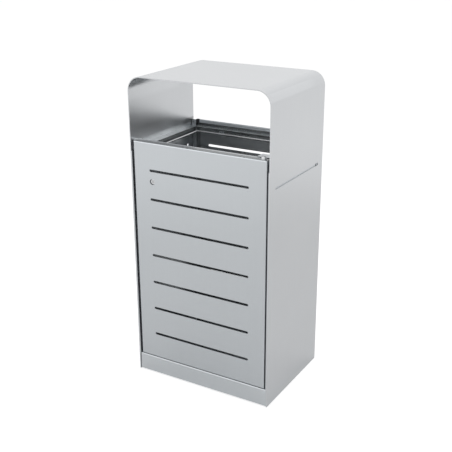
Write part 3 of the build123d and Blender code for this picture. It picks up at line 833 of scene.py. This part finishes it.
class BIN_OT_collar_rivets(bpy.types.Operator):
    """Models the rivets that hold the collar on its two brackets"""
    bl_idname = "bin.collar_rivets"
    bl_label = "Collar rivets"

    def execute(self, context):
        sizes = context.scene.bin_fittings
        # in millimetres, with shank and tail as radii and both depths from the collar's top
        shank = 2.0
        tail = 3.0
        tail_chamfer = 0.5
        gripped_depth = 4.0
        tail_depth = 7.0
        brim = 0.2
        end_share = 0.14
        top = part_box("bag_collar")[1].z / MM
        end = top - tail_depth
        profile = [(0, end), (tail - tail_chamfer, end), (tail, end + tail_chamfer),
                   (tail, top - gripped_depth), (shank, top - gripped_depth), (shank, top),
                   (sizes.rivet_radius, top)]
        crown = dome(sizes.rivet_radius, top + brim, sizes.rivet_height - brim)
        places = []
        for node in ("collar_bracket_left", "collar_bracket_right"):
            low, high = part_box(node)
            length = high.y - low.y
            for share in (end_share, 1 - end_share):
                places.append(at((low.x + high.x) / 2, low.y + share * length, 0))
        rivets = gathered(turned(profile + crown, sizes.turns), places)
        add_piece("collar_rivets", rivets, "bright_steel", "bin_body")
        return {"FINISHED"}


class BIN_OT_door_buffers(bpy.types.Operator):
    """Models the two rubber buffers with rounded faces"""
    bl_idname = "bin.door_buffers"
    bl_label = "Door buffers"

    def execute(self, context):
        low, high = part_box("door_buffers")
        radius = (high.x - low.x) / 2 / MM
        depth = (high.y - low.y) / MM
        # in millimetres, how far the rounded edge stands in from the side and down from the face
        insets = ((0, 1.6), (0.3, 0.8), (1.0, 0.25), (2.0, 0))
        dish = 0.4
        edge = [(radius - aside, depth - down) for aside, down in insets]
        profile = [(0, 0), (radius, 0), *edge, (0, depth - dish)]
        places = [at((low.x + high.x) / 2, high.y, z) @ TO_FRONT
                  for z in (low.z + radius * MM, high.z - radius * MM)]
        buffers = gathered(turned(profile, context.scene.bin_fittings.turns), places)
        add_piece("rubber_buffers", buffers, "black_rubber", "bin_body",
                  ["door_buffers"])
        return {"FINISHED"}


class BIN_OT_ring_grip(bpy.types.Operator):
    """Models the moulded finger grip of the ring, with ribs across both faces"""
    bl_idname = "bin.ring_grip"
    bl_label = "Ring grip"

    def execute(self, context):
        top_share = 0.33
        rib_count = 4
        # in millimetres, with half a rib's width and height
        body_edge = 1.7
        rib_x = 5.2
        rib_y = 0.7
        rib_rise = 0.5
        rib_edge = 0.5
        first_rib = 13
        rib_pitch = 3.4
        low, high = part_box("ring_grip")
        size = (high - low) / MM
        half, top = size.x / 2, size.x * top_share
        body = raised([(-half, 0), (half, 0), (top, size.z), (-top, size.z)], size.y,
                      body_edge, EDGE_STEPS + 1)
        rib = raised([(-rib_x, -rib_y), (rib_x, -rib_y), (rib_x, rib_y), (-rib_x, rib_y)],
                     size.y + 2 * rib_rise, rib_edge)
        heights = [first_rib + rib_pitch * k for k in range(rib_count)]
        ribs = gathered(rib, [at(0, height * MM, -rib_rise * MM) for height in heights])
        grip = gathered(joined(body, ribs), [at((low.x + high.x) / 2, high.y, low.z) @ TO_FRONT])
        add_piece("moulded_grip", grip, "black_nylon", "ring", ["ring_grip"])
        return {"FINISHED"}


class BIN_OT_lock(bpy.types.Operator):
    """Models the lock's threaded barrel, its hexagon nuts and the screw of its cam"""
    bl_idname = "bin.lock"
    bl_label = "Lock"

    def execute(self, context):
        sizes = context.scene.bin_fittings
        # all in millimetres, and face_insets is how far the face's rounded edge stands in from the
        # side and down from the face
        plug_gap = 0.05
        mouth_chamfer = 0.5
        face_insets = ((1.2, 0), (0.35, 0.3), (0, 1.0))
        head_length = 3
        thread_depth = 0.7
        end_chamfer = 0.6
        nut_gap = 0.03
        nut_edge = 0.7
        washer_radius = 6.5
        washer_height = 1.0
        washer_in = 0.3
        washer_down = 0.2
        screw_flats = 8.0
        screw_height = 3.2
        screw_edge = 0.5
        middle = middle_of("lock_barrel")
        low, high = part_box("lock_barrel")
        radius, length = (high.x - low.x) / 2 / MM, (high.y - low.y) / MM
        plug_low, plug_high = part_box("lock_plug")
        bore = (plug_high.x - plug_low.x) / 2 / MM + plug_gap
        shoulder = length - head_length
        face_edge = [(radius - aside, length - down) for aside, down in face_insets]
        profile = [(bore, 0), (bore, length - mouth_chamfer), (bore + mouth_chamfer, length),
                   *face_edge, (radius, shoulder)]
        profile += thread(radius, thread_depth, sizes.thread_pitch, shoulder, sizes.thread_pitch)
        profile += [(radius - end_chamfer, 0), (bore, 0)]
        barrel = turned(profile, sizes.turns)
        add_piece("threaded_barrel",
                  gathered(barrel, [at(middle.x, high.y, middle.z) @ TO_FRONT]), "lock_chrome",
                  "door", ["lock_barrel"])
        for name, node, material, slot in (
                ("weld_nut", "lock_boss", "weld_nut_steel", "inner_steel"),
                ("lock_hexagon_nut", "lock_nut", "bright_steel", "bright_steel")):
            low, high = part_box(node)
            nut = pierced_nut((high.z - low.z) / MM, (high.y - low.y) / MM, radius + nut_gap,
                              nut_edge)
            add_piece(name, gathered(nut, [at(middle.x, high.y, middle.z) @ TO_FRONT]), material,
                      "door", [node])
        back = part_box("lock_cam")[1].y
        inset = washer_radius - washer_in
        washer = turned([(0, 0), (inset, 0), (washer_radius, washer_down),
                         (washer_radius, washer_height - washer_down), (inset, washer_height),
                         (0, washer_height)], sizes.turns)
        head = gathered(raised(hexagon(screw_flats), screw_height, screw_edge),
                        [at(0, 0, washer_height * MM)])
        screw = gathered(joined(washer, head), [at(middle.x, back, middle.z) @ TO_REAR])
        add_piece("cam_screw", screw, "bright_steel", "lock")
        return {"FINISHED"}


class BIN_OT_welds(bpy.types.Operator):
    """Lays the weld beads on the ring's corners, the corner plate and the hinge arm"""
    bl_idname = "bin.welds"
    bl_label = "Weld beads"

    def execute(self, context):
        sizes = context.scene.bin_fittings
        radius = sizes.weld_radius * MM
        end_gap = 4 * radius
        arm_shares = (0.08, 0.30)
        bead_share = 0.10
        # in millimetres, how far a ring bead stands out from its rod, and where along the rod
        ring_bead = ((-0.4, -2.6), (1.0, -2.9), (1.2, -3.6), (0.5, -4.4), (-0.4, -4.6),
                     (-0.4, -2.6))
        low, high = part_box("corner_plate")
        edge = high.x - radius
        seams = [weld_bead((edge, low.y + end_gap, high.z), (edge, high.y - end_gap, high.z),
                           radius)]
        low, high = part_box("hinge_arm")
        width = high.x - low.x
        for share in arm_shares:
            seams.append(weld_bead((low.x + share * width, high.y, low.z),
                                   (low.x + (share + bead_share) * width, high.y, low.z),
                                   radius))
        add_piece("body_welds", joined(*seams), "bright_steel", "bin_body")
        low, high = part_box("bag_ring")
        rod = (high.z - low.z) / 2
        bead = [(rod / MM + out, along) for out, along in ring_bead]
        leg_x = high.x - sizes.bar_overhang * MM
        joints = [at(side * leg_x, high.y - rod, low.z + rod) @ TO_REAR for side in (-1, 1)]
        add_piece("ring_welds", gathered(turned(bead, sizes.turns // 2), joints),
                  "bright_steel", "ring")
        return {"FINISHED"}


# Light, floor and camera

def area_lamp(name, power, size, place, target):
    """A large soft lamp that faces a point."""
    lamp = bpy.data.lights.new(name, "AREA")
    lamp.shape = "SQUARE"
    lamp.size = size
    lamp.energy = power
    lamp_object = bpy.data.objects.new(name, lamp)
    bpy.context.scene.collection.objects.link(lamp_object)
    turn = (target - Vector(place)).to_track_quat("-Z", "Y").to_matrix().to_4x4()
    lamp_object.matrix_world = Matrix.Translation(place) @ turn


def seen_or_mirrored(tree):
    """1 for rays from the camera and for mirrored or clear-through rays, otherwise 0."""
    path = tree.nodes.new("ShaderNodeLightPath")
    both = math_node(tree, "MAXIMUM", path.outputs["Is Camera Ray"], path.outputs["Is Glossy Ray"])
    return math_node(tree, "MAXIMUM", both, path.outputs["Is Transmission Ray"])


def build_world(stage):
    """Even light from all round, seen as white."""
    world = bpy.data.worlds.new("studio")
    bpy.context.scene.world = world
    world.use_nodes = True
    tree = world.node_tree
    tree.nodes.clear()
    output = tree.nodes.new("ShaderNodeOutputWorld")
    seen = tree.nodes.new("ShaderNodeBackground")
    lit = tree.nodes.new("ShaderNodeBackground")
    mix = tree.nodes.new("ShaderNodeMixShader")
    seen.inputs["Strength"].default_value = 1.0
    seen.inputs["Color"].default_value = WHITE
    lit.inputs["Strength"].default_value = stage.sky_level
    tree.links.new(seen_or_mirrored(tree), mix.inputs["Fac"])
    tree.links.new(lit.outputs["Background"], mix.inputs[1])
    tree.links.new(seen.outputs["Background"], mix.inputs[2])
    tree.links.new(mix.outputs["Shader"], output.inputs["Surface"])


def floor_material(stage):
    """A matt white that keeps shadows, lifted for the camera and for mirrored rays."""
    material = bpy.data.materials.new("floor")
    material.use_nodes = True
    tree = material.node_tree
    shader = tree.nodes["Principled BSDF"]
    shader.inputs["Base Color"].default_value = (*stage.floor_colour, 1.0)
    shader.inputs["Roughness"].default_value = stage.floor_roughness
    shader.inputs["Specular IOR Level"].default_value = 0.0
    shader.inputs["Emission Color"].default_value = WHITE
    place = tree.nodes.new("ShaderNodeTexCoord")
    distance = tree.nodes.new("ShaderNodeVectorMath")
    distance.operation = "LENGTH"
    tree.links.new(place.outputs["Object"], distance.inputs[0])
    ramp = tree.nodes.new("ShaderNodeMapRange")
    ramp.interpolation_type = "SMOOTHSTEP"
    ramp.inputs["From Min"].default_value = stage.near_floor
    ramp.inputs["From Max"].default_value = stage.far_floor
    ramp.inputs["To Min"].default_value = stage.near_lift
    ramp.inputs["To Max"].default_value = stage.mirrored_lift
    tree.links.new(distance.outputs["Value"], ramp.inputs["Value"])
    path = tree.nodes.new("ShaderNodeLightPath")
    seen = math_node(tree, "MULTIPLY", path.outputs["Is Camera Ray"], stage.floor_lift)
    mirrored = math_node(tree, "MULTIPLY", path.outputs["Is Glossy Ray"], ramp.outputs["Result"])
    tree.links.new(math_node(tree, "ADD", seen, mirrored), shader.inputs["Emission Strength"])
    return material


def build_floor(stage):
    """A wide pale floor."""
    mesh = bpy.data.meshes.new("floor")
    plate = bmesh.new()
    bmesh.ops.create_grid(plate, x_segments=1, y_segments=1, size=stage.floor_reach)
    plate.to_mesh(mesh)
    plate.free()
    floor = bpy.data.objects.new("floor", mesh)
    bpy.context.scene.collection.objects.link(floor)
    mesh.materials.append(floor_material(stage))


def build_camera(stage):
    """The camera at the photograph's place and viewing angle."""
    side = Vector((math.cos(stage.azimuth), math.sin(stage.azimuth), 0.0))
    level = math.cos(stage.elevation)
    ahead = Vector((-math.sin(stage.azimuth) * level, math.cos(stage.azimuth) * level,
                    -math.sin(stage.elevation)))
    up = side.cross(ahead)
    turned_side = math.cos(stage.roll) * side + math.sin(stage.roll) * up
    turned_up = math.cos(stage.roll) * up - math.sin(stage.roll) * side
    data = bpy.data.cameras.new("camera")
    data.lens = stage.lens
    data.sensor_width = stage.sensor_width
    camera = bpy.data.objects.new("camera", data)
    bpy.context.scene.collection.objects.link(camera)
    turn = Matrix((turned_side, turned_up, -ahead)).transposed()
    camera.matrix_world = Matrix.Translation(stage.camera_place) @ turn.to_4x4()
    bpy.context.scene.camera = camera


class BIN_OT_stage(bpy.types.Operator):
    """Builds the floor, the light and the camera"""
    bl_idname = "bin.stage"
    bl_label = "Stage"

    def execute(self, context):
        stage = context.scene.bin_stage
        build_world(stage)
        build_floor(stage)
        build_camera(stage)
        middle = (Vector(CAD_BOX[0]) + Vector(CAD_BOX[1])) / 2
        area_lamp("key_lamp", stage.key_power, stage.key_size, stage.key_place, middle)
        area_lamp("top_lamp", stage.top_power, stage.top_size, stage.top_place, middle)
        context.scene.view_settings.view_transform = "Standard"
        return {"FINISHED"}


# Panel and registration

class BIN_PT_panel(bpy.types.Panel):
    """Lists the steps that build the bin"""
    bl_idname = "BIN_PT_panel"
    bl_label = "Waste bin"
    bl_space_type = "VIEW_3D"
    bl_region_type = "UI"
    bl_category = "Waste bin"

    def draw(self, context):
        for operator in OPERATORS:
            self.layout.operator(operator.bl_idname)
        for holder in SETTINGS:
            settings = getattr(context.scene, holder)
            for name in settings.__annotations__:
                self.layout.prop(settings, name)


SETTINGS = {"bin_steel": SteelSettings, "bin_moulded": MouldedSettings,
            "bin_fittings": FittingSettings, "bin_stage": StageSettings}
OPERATORS = (BIN_OT_groups, BIN_OT_outer_sheets, BIN_OT_inner_sheets, BIN_OT_side_slots,
             BIN_OT_fittings, BIN_OT_pivot_pin, BIN_OT_collar_rivets, BIN_OT_door_buffers,
             BIN_OT_ring_grip, BIN_OT_lock, BIN_OT_welds, BIN_OT_stage)
CLASSES = (*SETTINGS.values(), *OPERATORS, BIN_PT_panel)


def register():
    for kind in CLASSES:
        bpy.utils.register_class(kind)
    for holder, settings in SETTINGS.items():
        setattr(bpy.types.Scene, holder, PointerProperty(type=settings))


def unregister():
    for holder in SETTINGS:
        delattr(bpy.types.Scene, holder)
    for kind in reversed(CLASSES):
        bpy.utils.unregister_class(kind)


def main():
    """Registers the add-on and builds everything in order."""
    register()
    bpy.ops.bin.groups()
    bpy.ops.bin.outer_sheets()
    bpy.ops.bin.inner_sheets()
    bpy.ops.bin.side_slots()
    bpy.ops.bin.fittings()
    bpy.ops.bin.pivot_pin()
    bpy.ops.bin.collar_rivets()
    bpy.ops.bin.door_buffers()
    bpy.ops.bin.ring_grip()
    bpy.ops.bin.lock()
    bpy.ops.bin.welds()
    bpy.ops.bin.stage()


if __name__ == "__main__":
    main()
